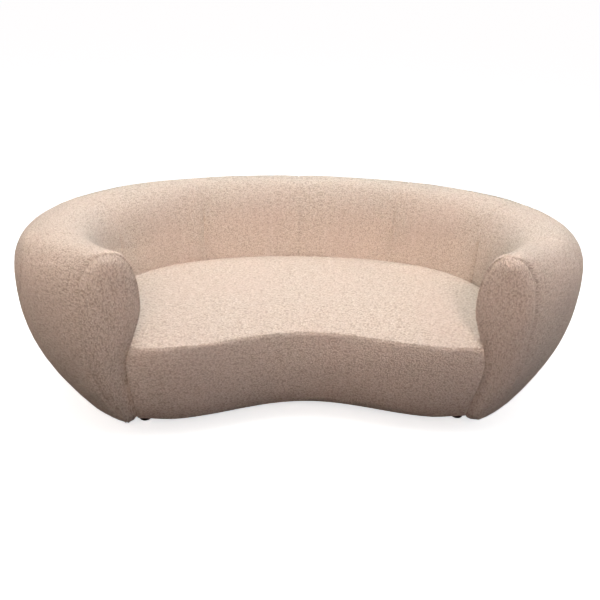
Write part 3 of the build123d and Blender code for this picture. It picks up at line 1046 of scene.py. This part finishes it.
class Wiring:
    """Adds nodes to a node tree and joins them up."""

    def __init__(self, tree: bpy.types.NodeTree) -> None:
        """Keep the tree.

        Args:
            tree: where the nodes go.
        """
        self.tree = tree

    def add(self, kind: str, inputs: dict | None = None, **settings: object) -> bpy.types.Node:
        """Add one node.

        Args:
            kind: the node's type.
            inputs: values or sockets for its inputs, by name or number.
            settings: its own properties.

        Returns:
            The node.
        """
        node = self.tree.nodes.new(kind)
        for name, value in settings.items():
            setattr(node, name, value)
        for name, value in (inputs or {}).items():
            if isinstance(value, bpy.types.NodeSocket):
                self.tree.links.new(value, node.inputs[name])
            else:
                node.inputs[name].default_value = value
        return node

    def noise(self, vector: object, scale: object, detail: float, **settings: object) -> bpy.types.Node:
        """Add a noise texture.

        Args:
            vector: where it is read.
            scale: how fine it is.
            detail: how many finer layers it has.
            settings: its own properties.

        Returns:
            The node.
        """
        inputs = {"Vector": vector, "Scale": scale, "Detail": detail}
        return self.add("ShaderNodeTexNoise", inputs, **settings)

    def maths(
        self, operation: str, first: object, second: object, third: object = 0.0
    ) -> bpy.types.NodeSocket:
        """Join two or three numbers by one operation.

        Args:
            operation: its name.
            first: the first number or socket.
            second: the second.
            third: the third, for an operation that takes one.

        Returns:
            The result's socket.
        """
        node = self.add("ShaderNodeMath", {0: first, 1: second, 2: third}, operation=operation)
        return node.outputs[0]

    def scaled(self, vector: bpy.types.NodeSocket, by: tuple[float, float, float]) -> bpy.types.NodeSocket:
        """Stretch a vector.

        Args:
            vector: what to stretch.
            by: how much along each axis.

        Returns:
            The stretched vector's socket.
        """
        return self.add("ShaderNodeMapping", {"Vector": vector, "Scale": by}, vector_type="POINT").outputs[0]

    def spread(
        self, value: object, low: float, high: float, to_low: float, to_high: float
    ) -> bpy.types.NodeSocket:
        """Carry a number from one range to another, held at its ends.

        Args:
            value: the number or socket.
            low: the first range's start.
            high: its end.
            to_low: the second range's start.
            to_high: its end.

        Returns:
            The carried number's socket.
        """
        ranges = {"From Min": low, "From Max": high, "To Min": to_low, "To Max": to_high}
        return self.add("ShaderNodeMapRange", {"Value": value, **ranges}).outputs[0]

    def blend(self, factor: object, first: object, second: object, how: str = "MIX") -> bpy.types.NodeSocket:
        """Mix two colours.

        Args:
            factor: how much of the second to take.
            first: the first colour or socket.
            second: the second.
            how: the way of mixing.

        Returns:
            The mixed colour's socket.
        """
        node = self.add("ShaderNodeMix", data_type="RGBA", blend_type=how)
        for socket, value in ((node.inputs[0], factor), (node.inputs[6], first), (node.inputs[7], second)):
            if isinstance(value, bpy.types.NodeSocket):
                self.tree.links.new(value, socket)
            else:
                socket.default_value = value if isinstance(value, float) else (*value, 1.0)
        return node.outputs[2]


def shared_group(
    name: str, sockets_in: dict[str, str], sockets_out: dict[str, str]
) -> tuple[bpy.types.NodeTree, Wiring, bpy.types.Node, bpy.types.Node]:
    """Start a node group.

    Args:
        name: what it is called.
        sockets_in: its inputs, name to socket type.
        sockets_out: its outputs, name to socket type.

    Returns:
        The group, its wiring, its input node and its output node.
    """
    group = bpy.data.node_groups.new(name, "ShaderNodeTree")
    for label, kind in sockets_in.items():
        group.interface.new_socket(name=label, in_out="INPUT", socket_type=kind)
    for label, kind in sockets_out.items():
        group.interface.new_socket(name=label, in_out="OUTPUT", socket_type=kind)
    wiring = Wiring(group)
    return group, wiring, wiring.add("NodeGroupInput"), wiring.add("NodeGroupOutput")


VALUE, VECTOR, COLOUR = "NodeSocketFloat", "NodeSocketVector", "NodeSocketColor"


class Effects:
    """The node groups that the finishes share, each built once."""

    def __init__(self) -> None:
        """Build them all."""
        self.clouds = self._clouds()
        self.weave = self._weave()
        self.grain = self._grain()

    def cloud(
        self, wiring: Wiring, place: bpy.types.NodeSocket, scale: float
    ) -> bpy.types.NodeSocket:
        """Add the clouds to a material.

        Args:
            wiring: the material's wiring.
            place: where they are read.
            scale: how fine they are.

        Returns:
            Their mask, from 0 to 1.
        """
        inputs = {"Vector": place, "Scale": scale}
        return wiring.add("ShaderNodeGroup", inputs, node_tree=self.clouds).outputs["Mask"]

    def _clouds(self) -> bpy.types.NodeTree:
        """Slow unevenness of a surface: handling, dust and dye, from 0 to 1."""
        group, wiring, given, out = shared_group(
            "clouds", {"Vector": VECTOR, "Scale": VALUE}, {"Mask": VALUE}
        )
        broad = wiring.noise(given.outputs["Vector"], given.outputs["Scale"], 3.0)
        wiring.tree.links.new(wiring.spread(broad.outputs["Fac"], 0.33, 0.67, 0.0, 1.0), out.inputs["Mask"])
        return group

    def _weave(self) -> bpy.types.NodeTree:
        """Plain weave: threads over and under each other."""
        group, wiring, given, out = shared_group(
            "plain_weave", {"Vector": VECTOR, "Threads": VALUE}, {"Height": VALUE, "Thread": VALUE}
        )
        moved = wiring.add(
            "ShaderNodeVectorMath",
            {0: given.outputs["Vector"], "Scale": given.outputs["Threads"]},
            operation="SCALE",
        )
        parts = wiring.add("ShaderNodeSeparateXYZ", {0: moved.outputs[0]})
        across = wiring.maths("ADD", parts.outputs["Y"], parts.outputs["Z"])
        humps = [
            wiring.maths("ABSOLUTE", wiring.maths("SINE", wiring.maths("MULTIPLY", line, math.pi), 0.0), 0.0)
            for line in (parts.outputs["X"], across)
        ]
        over = wiring.add("ShaderNodeTexChecker", {"Vector": moved.outputs[0], "Scale": 1.0}).outputs["Fac"]
        height = wiring.maths(
            "ADD",
            wiring.maths("MULTIPLY", humps[0], over),
            wiring.maths("MULTIPLY", humps[1], wiring.maths("SUBTRACT", 1.0, over)),
        )
        thread = wiring.noise(moved.outputs[0], 0.35, 2.0)
        wiring.tree.links.new(height, out.inputs["Height"])
        wiring.tree.links.new(thread.outputs["Fac"], out.inputs["Thread"])
        return group

    def _grain(self) -> bpy.types.NodeTree:
        """Wood grain along the vector's first axis: growth lines, pores and how dark they are."""
        group, wiring, given, out = shared_group(
            "wood_grain", {"Vector": VECTOR, "Lines": VALUE}, {"Line": VALUE, "Pore": VALUE}
        )
        drawn = wiring.scaled(given.outputs["Vector"], (1.0, 9.0, 9.0))
        bend = wiring.noise(drawn, 1.6, 3.0)
        bent = wiring.add("ShaderNodeVectorMath", {0: drawn, 1: bend.outputs["Color"]}, operation="ADD")
        line = wiring.add(
            "ShaderNodeTexWave",
            {"Vector": bent.outputs[0], "Scale": given.outputs["Lines"], "Distortion": 3.0, "Detail": 3.0},
            bands_direction="Y",
        )
        pore = wiring.noise(wiring.scaled(given.outputs["Vector"], (60.0, 900.0, 900.0)), 1.0, 1.0)
        wiring.tree.links.new(line.outputs["Fac"], out.inputs["Line"])
        wiring.tree.links.new(wiring.spread(pore.outputs["Fac"], 0.55, 0.75, 0.0, 1.0), out.inputs["Pore"])
        return group


class Finish(ABC):
    """What all the finishes have in common: a material, its wiring and its shader."""

    name: str

    def start(self) -> tuple[bpy.types.Material, Wiring, bpy.types.Node]:
        """Make an empty material.

        Returns:
            The material, its wiring and its shader.
        """
        material = bpy.data.materials.new(self.name)
        material.use_nodes = True
        return material, Wiring(material.node_tree), material.node_tree.nodes["Principled BSDF"]

    @abstractmethod
    def build(self, effects: Effects) -> bpy.types.Material:
        """Make the material.

        Args:
            effects: the shared node groups.

        Returns:
            The material.
        """

    @staticmethod
    def bump(
        wiring: Wiring,
        shader: bpy.types.Node,
        height: bpy.types.NodeSocket,
        depth: float,
        strength: float,
    ) -> None:
        """Raise the surface by a height map.

        Args:
            wiring: the material's wiring.
            shader: its shader.
            height: the height map.
            depth: how far it raises.
            strength: how much of that shows.
        """
        node = wiring.add("ShaderNodeBump", {"Height": height, "Distance": depth, "Strength": strength})
        wiring.tree.links.new(node.outputs[0], shader.inputs["Normal"])


@dataclass(frozen=True)
class LoopedCloth(Finish):
    """Nubby looped cloth: worms of yarn lying along the grain, thicker here and there, with pale nubs and
    painted shade in the gaps between the loops.
    """

    name: str = "looped_cloth"
    body: Colour = (0.740, 0.635, 0.538)
    # painted shade: the colour the cloth darkens to in the gaps between its loops
    gap_shade: Colour = (0.50, 0.395, 0.315)
    pale: Colour = (0.88, 0.80, 0.72)
    blush: Colour = (0.74, 0.575, 0.500)
    loop: tuple[float, float] = (0.0088, 0.0050)
    streak: tuple[float, float] = (0.030, 0.0085)
    wander: float = 0.014
    wander_scale: float = 70.0
    fuzz_scale: float = 520.0
    cloud_scale: float = 3.6
    depth: float = 0.0021
    roughness: float = 0.93
    gloss: float = 0.25
    sheen: float = 0.18
    sheen_roughness: float = 0.45
    sheen_tone: Colour = (0.96, 0.90, 0.84)

    def build(self, effects: Effects) -> bpy.types.Material:
        """Make the material.

        Args:
            effects: the shared node groups.

        Returns:
            The material.
        """
        material, wiring, shader = self.start()
        cloth = wiring.add("ShaderNodeUVMap", uv_map="ClothMap").outputs[0]
        wander = wiring.noise(cloth, self.wander_scale, 2.0, noise_dimensions="2D").outputs["Color"]
        centred = wiring.add("ShaderNodeVectorMath", {0: wander, 1: (0.5, 0.5, 0.5)}, operation="SUBTRACT")
        pushed = wiring.add(
            "ShaderNodeVectorMath",
            {0: centred.outputs[0], 1: (self.wander, self.wander, 0.0), 2: cloth},
            operation="MULTIPLY_ADD",
        ).outputs[0]
        worms = wiring.scaled(pushed, (1 / self.loop[0], 1 / self.loop[1], 1.0))
        loops = wiring.add(
            "ShaderNodeTexVoronoi",
            {"Vector": worms, "Scale": 1.0, "Smoothness": 0.45},
            feature="SMOOTH_F1",
            voronoi_dimensions="2D",
        )
        fuzz = wiring.noise(cloth, self.fuzz_scale, 3.0, noise_dimensions="2D")
        yarn = wiring.scaled(pushed, (1 / self.streak[0], 1 / self.streak[1], 1.0))
        streaks = wiring.noise(yarn, 1.0, 2.0, noise_dimensions="2D")
        nubs = wiring.add("ShaderNodeSeparateColor", {0: loops.outputs["Color"]}).outputs[0]
        crest = wiring.spread(loops.outputs["Distance"], 0.12, 0.62, 1.0, 0.0)
        tangle = wiring.spread(fuzz.outputs["Fac"], 0.35, 0.65, -0.5, 0.5)
        thick = wiring.spread(streaks.outputs["Fac"], 0.34, 0.66, 0.0, 1.0)
        place = wiring.add("ShaderNodeTexCoord").outputs["Object"]
        cloud = effects.cloud(wiring, place, self.cloud_scale)

        shown = wiring.maths("MULTIPLY_ADD", tangle, 0.30, crest)
        # painted shade: the colour darkens where the loops fall away into their gaps, standing in for the
        # shade there
        tone = wiring.blend(wiring.spread(shown, 0.0, 0.75, 0.0, 1.0), self.gap_shade, self.body)
        tone = wiring.blend(wiring.spread(thick, 0.25, 1.0, 0.0, 0.34), tone, self.pale)
        chosen = wiring.spread(nubs, 0.74, 0.84, 0.0, 0.75)
        raised = wiring.spread(crest, 0.45, 0.9, 0.0, 1.0)
        tone = wiring.blend(wiring.maths("MULTIPLY", chosen, raised), tone, self.pale)
        tone = wiring.blend(wiring.spread(cloud, 0.0, 1.0, 0.0, 0.30), tone, self.blush)
        wiring.tree.links.new(tone, shader.inputs["Base Color"])
        shader.inputs["Roughness"].default_value = self.roughness
        shader.inputs["Specular IOR Level"].default_value = self.gloss
        shader.inputs["Sheen Weight"].default_value = self.sheen
        shader.inputs["Sheen Roughness"].default_value = self.sheen_roughness
        shader.inputs["Sheen Tint"].default_value = (*self.sheen_tone, 1.0)
        height = wiring.maths("MULTIPLY_ADD", thick, 0.45, shown)
        self.bump(wiring, shader, height, self.depth, 0.75)
        return material


@dataclass(frozen=True)
class Woven(Finish):
    """A plain woven cloth or tape."""

    name: str
    light: Colour
    dark: Colour
    threads: float
    depth: float
    roughness: float = 0.9

    def build(self, effects: Effects) -> bpy.types.Material:
        """Make the material.

        Args:
            effects: the shared node groups.

        Returns:
            The material.
        """
        material, wiring, shader = self.start()
        place = wiring.add("ShaderNodeTexCoord").outputs["Object"]
        weave = wiring.add(
            "ShaderNodeGroup", {"Vector": place, "Threads": self.threads}, node_tree=effects.weave
        )
        thread = wiring.maths("SUBTRACT", weave.outputs["Thread"], 0.5)
        uneven = wiring.maths("MULTIPLY_ADD", thread, 0.8, weave.outputs["Height"])
        tone = wiring.blend(wiring.spread(uneven, 0.1, 1.0, 0.0, 1.0), self.dark, self.light)
        wiring.tree.links.new(tone, shader.inputs["Base Color"])
        shader.inputs["Roughness"].default_value = self.roughness
        self.bump(wiring, shader, weave.outputs["Height"], self.depth, 0.6)
        return material


@dataclass(frozen=True)
class Stuffing(Finish):
    """Curled hair and cotton felt."""

    name: str = "curled_hair"
    light: Colour = (0.56, 0.47, 0.37)
    dark: Colour = (0.20, 0.14, 0.09)
    hair_scale: float = 190.0
    hair_curl: float = 2.5
    cloud_scale: float = 14.0
    depth: float = 0.004
    roughness: float = 0.95

    def build(self, effects: Effects) -> bpy.types.Material:
        """Make the material.

        Args:
            effects: the shared node groups.

        Returns:
            The material.
        """
        material, wiring, shader = self.start()
        place = wiring.add("ShaderNodeTexCoord").outputs["Object"]
        hair = wiring.noise(place, self.hair_scale, 4.0)
        hair.inputs["Distortion"].default_value = self.hair_curl
        cloud = effects.cloud(wiring, place, self.cloud_scale)
        tone = wiring.blend(wiring.spread(hair.outputs["Fac"], 0.35, 0.65, 0.0, 1.0), self.dark, self.light)
        tone = wiring.blend(wiring.spread(cloud, 0.0, 1.0, 0.0, 0.4), tone, self.dark)
        wiring.tree.links.new(tone, shader.inputs["Base Color"])
        shader.inputs["Roughness"].default_value = self.roughness
        self.bump(wiring, shader, hair.outputs["Fac"], self.depth, 0.7)
        return material


@dataclass(frozen=True)
class Timber(Finish):
    """Beech, sawn for the frame or turned, stained and lacquered for the legs."""

    name: str
    light: Colour
    dark: Colour
    grain_turn: tuple[float, float, float]
    lines: float
    roughness: float
    lacquer: float
    depth: float
    cloud_scale: float = 9.0
    lacquer_roughness: float = 0.22
    wear: float = 0.2

    def build(self, effects: Effects) -> bpy.types.Material:
        """Make the material.

        Args:
            effects: the shared node groups.

        Returns:
            The material.
        """
        material, wiring, shader = self.start()
        place = wiring.add("ShaderNodeTexCoord").outputs["Object"]
        turned = wiring.add("ShaderNodeMapping", {"Vector": place, "Rotation": self.grain_turn}).outputs[0]
        grain = wiring.add(
            "ShaderNodeGroup", {"Vector": turned, "Lines": self.lines}, node_tree=effects.grain
        )
        cloud = effects.cloud(wiring, turned, self.cloud_scale)
        tone = wiring.blend(wiring.spread(grain.outputs["Line"], 0.2, 0.9, 0.0, 0.8), self.light, self.dark)
        tone = wiring.blend(wiring.maths("MULTIPLY", grain.outputs["Pore"], 0.6), tone, self.dark)
        tone = wiring.blend(wiring.maths("MULTIPLY", cloud, 0.3), tone, self.dark)
        wiring.tree.links.new(tone, shader.inputs["Base Color"])
        wear = wiring.maths("ADD", cloud, grain.outputs["Pore"])
        worn = wiring.spread(wear, 0.0, 2.0, self.roughness, self.roughness + self.wear)
        wiring.tree.links.new(worn, shader.inputs["Roughness"])
        shader.inputs["Coat Weight"].default_value = self.lacquer
        shader.inputs["Coat Roughness"].default_value = self.lacquer_roughness
        self.bump(wiring, shader, wiring.maths("SUBTRACT", 1.0, grain.outputs["Pore"]), self.depth, 0.5)
        return material


@dataclass(frozen=True)
class Metal(Finish):
    """Wire or plated steel, dulled and spotted by age."""

    name: str
    bright: Colour
    dull: Colour
    roughness: float
    cloud_scale: float = 160.0
    wear: float = 0.25
    depth: float = 0.0002

    def build(self, effects: Effects) -> bpy.types.Material:
        """Make the material.

        Args:
            effects: the shared node groups.

        Returns:
            The material.
        """
        material, wiring, shader = self.start()
        place = wiring.add("ShaderNodeTexCoord").outputs["Object"]
        cloud = effects.cloud(wiring, place, self.cloud_scale)
        tone = wiring.blend(cloud, self.bright, self.dull)
        wiring.tree.links.new(tone, shader.inputs["Base Color"])
        rough = wiring.spread(cloud, 0.0, 1.0, self.roughness, self.roughness + self.wear)
        wiring.tree.links.new(rough, shader.inputs["Roughness"])
        shader.inputs["Metallic"].default_value = 1.0
        self.bump(wiring, shader, cloud, self.depth, 0.3)
        return material


class Wardrobe:
    """Every finish by the slot it fills, and the work of putting them on."""

    def __init__(self) -> None:
        """Build the finishes."""
        effects = Effects()
        upright, along = (0.0, math.pi / 2, 0.0), (0.0, 0.0, 0.0)
        finishes: dict[str, Finish] = {
            "boucle": LoopedCloth(),
            "stuffing": Stuffing(),
            "hessian": Woven("hessian", (0.60, 0.47, 0.30), (0.24, 0.17, 0.09), 620.0, 0.0006),
            "jute": Woven("jute_tape", (0.62, 0.49, 0.31), (0.27, 0.18, 0.10), 900.0, 0.0005),
            "cambric": Woven("black_cambric", (0.045, 0.045, 0.048), (0.012, 0.012, 0.014), 1400.0, 0.0002),
            "spring_wire": Metal("coppered_wire", (0.62, 0.42, 0.28), (0.30, 0.20, 0.14), 0.30),
            "plated_steel": Metal("zinc_plate", (0.66, 0.66, 0.66), (0.42, 0.42, 0.43), 0.34),
            "stained_beech": Timber(
                name="stained_beech",
                light=(0.050, 0.026, 0.016),
                dark=(0.012, 0.007, 0.005),
                grain_turn=upright,
                lines=5.0,
                roughness=0.34,
                lacquer=0.45,
                depth=0.0003,
            ),
            "frame_beech": Timber(
                name="sawn_beech",
                light=(0.68, 0.47, 0.29),
                dark=(0.40, 0.24, 0.13),
                grain_turn=along,
                lines=3.0,
                roughness=0.62,
                lacquer=0.0,
                depth=0.0005,
            ),
        }
        self.materials = {slot: finish.build(effects) for slot, finish in finishes.items()}

    def dress_frame(self) -> None:
        """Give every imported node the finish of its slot."""
        for part in frame["record"]["subparts"]:
            node = frame["nodes"][part["node"]]
            for slot in node.material_slots:
                slot.material = self.materials[part["material_slot"]]

    def dress(self, grid: ClothGrid, relief: ClothRelief) -> bpy.types.Object:
        """Args:
            grid: the piece's shape.
            relief: the surface of its cloth.

        Returns:
            The finished piece.
        """
        piece = grid.build(relief)
        piece.data.materials.append(self.materials["boucle"])
        bpy.ops.object.select_all(action="DESELECT")
        piece.select_set(True)
        bpy.context.view_layer.objects.active = piece
        bpy.ops.object.shade_smooth_by_angle(angle=SMOOTH_ANGLE)
        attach(piece, BODY)
        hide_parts(*grid.nodes)
        log.info("%s: %d faces", grid.name, len(piece.data.polygons))
        return piece


# ---------------------------------------------------------------- studio


@dataclass(frozen=True)
class Lamp:
    """One soft oblong light, shaded to a beam if its spread is narrowed."""

    name: str
    place: tuple[float, float, float]
    aim: tuple[float, float, float]
    size: tuple[float, float]
    power: float
    colour: Colour
    spread: float = 180.0

    def hang(self) -> None:
        """Hang it."""
        data = bpy.data.lights.new(self.name, "AREA")
        data.shape, data.spread = "RECTANGLE", math.radians(self.spread)
        data.size, data.size_y = self.size
        data.energy, data.color = self.power, self.colour
        lamp = bpy.data.objects.new(self.name, data)
        away = np.array(self.place) - np.array(self.aim)
        away = away / np.linalg.norm(away)
        side = np.cross([0.0, 1.0, 0.001], away)
        side = side / np.linalg.norm(side)
        upward = np.cross(away, side)
        turned = Matrix([[side[k], upward[k], away[k]] for k in range(3)]).to_4x4()
        turned.translation = self.place
        lamp.matrix_world = turned
        bpy.context.scene.collection.objects.link(lamp)


@dataclass
class Studio:
    """The pale floor, the soft light and the camera."""

    eye: tuple[float, float, float] = (-0.1929, -2.5046, 1.6701)
    yaw: float = 0.0750
    pitch: float = 0.4876
    roll: float = 0.0390
    lens: float = 40.8
    sensor: float = 36.0
    floor_size: float = 60.0
    floor_tone: Colour = (0.80, 0.80, 0.80)
    floor_bounce: Colour = (0.03, 0.022, 0.02)
    floor_glow: Colour = (0.72, 0.72, 0.72)
    sky_tone: Colour = (1.0, 1.0, 1.0)
    sky_high: Colour = (0.93, 1.0, 1.0)
    sky_light: tuple[float, float] = (0.0, 0.56)
    sky_low: Colour = (1.0, 0.62, 0.64)
    sky_seen: float = 1.0
    lamps: tuple[Lamp, ...] = (
        Lamp("overhead", (0.0, 0.10, 3.2), (0.0, 0.0, 0.3), (2.4, 2.4), 62.0, (0.93, 1.0, 1.0)),
        Lamp("front_beam", (0.0, -3.2, 3.0), (0.0, -0.16, 0.64), (3.1, 0.5), 5.5, (1.0, 0.79, 0.69), 26.0),
        Lamp("front_fill", (0.0, -3.2, 2.2), (0.0, 0.0, 0.4), (1.8, 1.2), 2.0, (1.0, 0.50, 0.52)),
        Lamp("left_fill", (-3.4, -1.4, 2.3), (-0.6, 0.0, 0.5), (1.6, 1.6), 17.0, (1.0, 0.92, 0.78)),
        Lamp("right_fill", (3.6, -1.0, 2.0), (0.6, 0.0, 0.5), (1.6, 1.6), 19.0, (0.58, 0.86, 1.0)),
    )

    def camera(self) -> None:
        """Set the camera up."""
        ahead = math.cos(self.pitch)
        forward = np.array(
            [math.sin(self.yaw) * ahead, math.cos(self.yaw) * ahead, -math.sin(self.pitch)]
        )
        level = np.array([math.cos(self.yaw), -math.sin(self.yaw), 0.0])
        up = np.cross(level, forward)
        right = math.cos(self.roll) * level + math.sin(self.roll) * up
        over = math.cos(self.roll) * up - math.sin(self.roll) * level
        data = bpy.data.cameras.new("camera")
        data.lens, data.sensor_width = self.lens, self.sensor
        data.clip_end = 100
        camera = bpy.data.objects.new("camera", data)
        turned = Matrix([[right[k], over[k], -forward[k]] for k in range(3)]).to_4x4()
        turned.translation = self.eye
        camera.matrix_world = turned
        bpy.context.scene.collection.objects.link(camera)
        bpy.context.scene.camera = camera

    def floor(self) -> None:
        """Lay the floor."""
        bpy.ops.object.select_all(action="DESELECT")
        bpy.ops.mesh.primitive_plane_add(size=self.floor_size, location=(0, 0, 0))
        floor = bpy.context.object
        floor.name = "floor"
        material = bpy.data.materials.new("floor")
        material.use_nodes = True
        shader = material.node_tree.nodes["Principled BSDF"]
        wiring = Wiring(material.node_tree)
        seen = wiring.add("ShaderNodeLightPath").outputs["Is Camera Ray"]
        tone = wiring.blend(seen, self.floor_bounce, self.floor_tone)
        wiring.tree.links.new(tone, shader.inputs["Base Color"])
        shader.inputs["Roughness"].default_value = 0.9
        shader.inputs["Specular IOR Level"].default_value = 0.1
        shader.inputs["Emission Strength"].default_value = 1.0
        glow = wiring.blend(seen, (0.0, 0.0, 0.0), self.floor_glow)
        wiring.tree.links.new(glow, shader.inputs["Emission Color"])
        floor.data.materials.append(material)

    def sky(self) -> None:
        """Surround it all with a white room that gives only a little light."""
        world = bpy.data.worlds.new("studio")
        bpy.context.scene.world = world
        world.use_nodes = True
        wiring = Wiring(world.node_tree)
        shown = world.node_tree.nodes["Background"]
        seen = wiring.add("ShaderNodeLightPath").outputs["Is Camera Ray"]
        towards = wiring.add("ShaderNodeTexCoord").outputs["Generated"]
        rise = wiring.add("ShaderNodeSeparateXYZ", {0: towards}).outputs["Z"]
        light = wiring.spread(rise, 0.0, 1.0, *self.sky_light)
        height = wiring.spread(rise, 0.0, 1.0, 0.0, 1.0)
        given = wiring.blend(height, self.sky_low, self.sky_high)
        wiring.tree.links.new(wiring.blend(seen, given, self.sky_tone), shown.inputs["Color"])
        strength = wiring.add("ShaderNodeMix", {"Factor": seen, "A": light, "B": self.sky_seen}).outputs[0]
        wiring.tree.links.new(strength, shown.inputs["Strength"])

    def build(self) -> None:
        """Set up the whole studio."""
        self.camera()
        self.floor()
        self.sky()
        for lamp in self.lamps:
            lamp.hang()
        bpy.context.scene.view_settings.view_transform = "Standard"


def main() -> None:
    """Build the sofa's looks in order."""
    logging.basicConfig(level=logging.INFO, format="%(name)s: %(message)s")
    Studio().build()
    form, line = Horseshoe(), SeatLine()
    grids = HorseshoeCover(form).grids()
    grids += [ArmPanel(form).grid(side) for side in Side]
    grids += [SeatTop(form, line).grid(), SeatBorder(form, line).grid()]
    ClothPress().blow(grids)
    wardrobe, relief = Wardrobe(), ClothRelief()
    wardrobe.dress_frame()
    for grid in grids:
        wardrobe.dress(grid, relief)


if __name__ == "__main__":
    main()
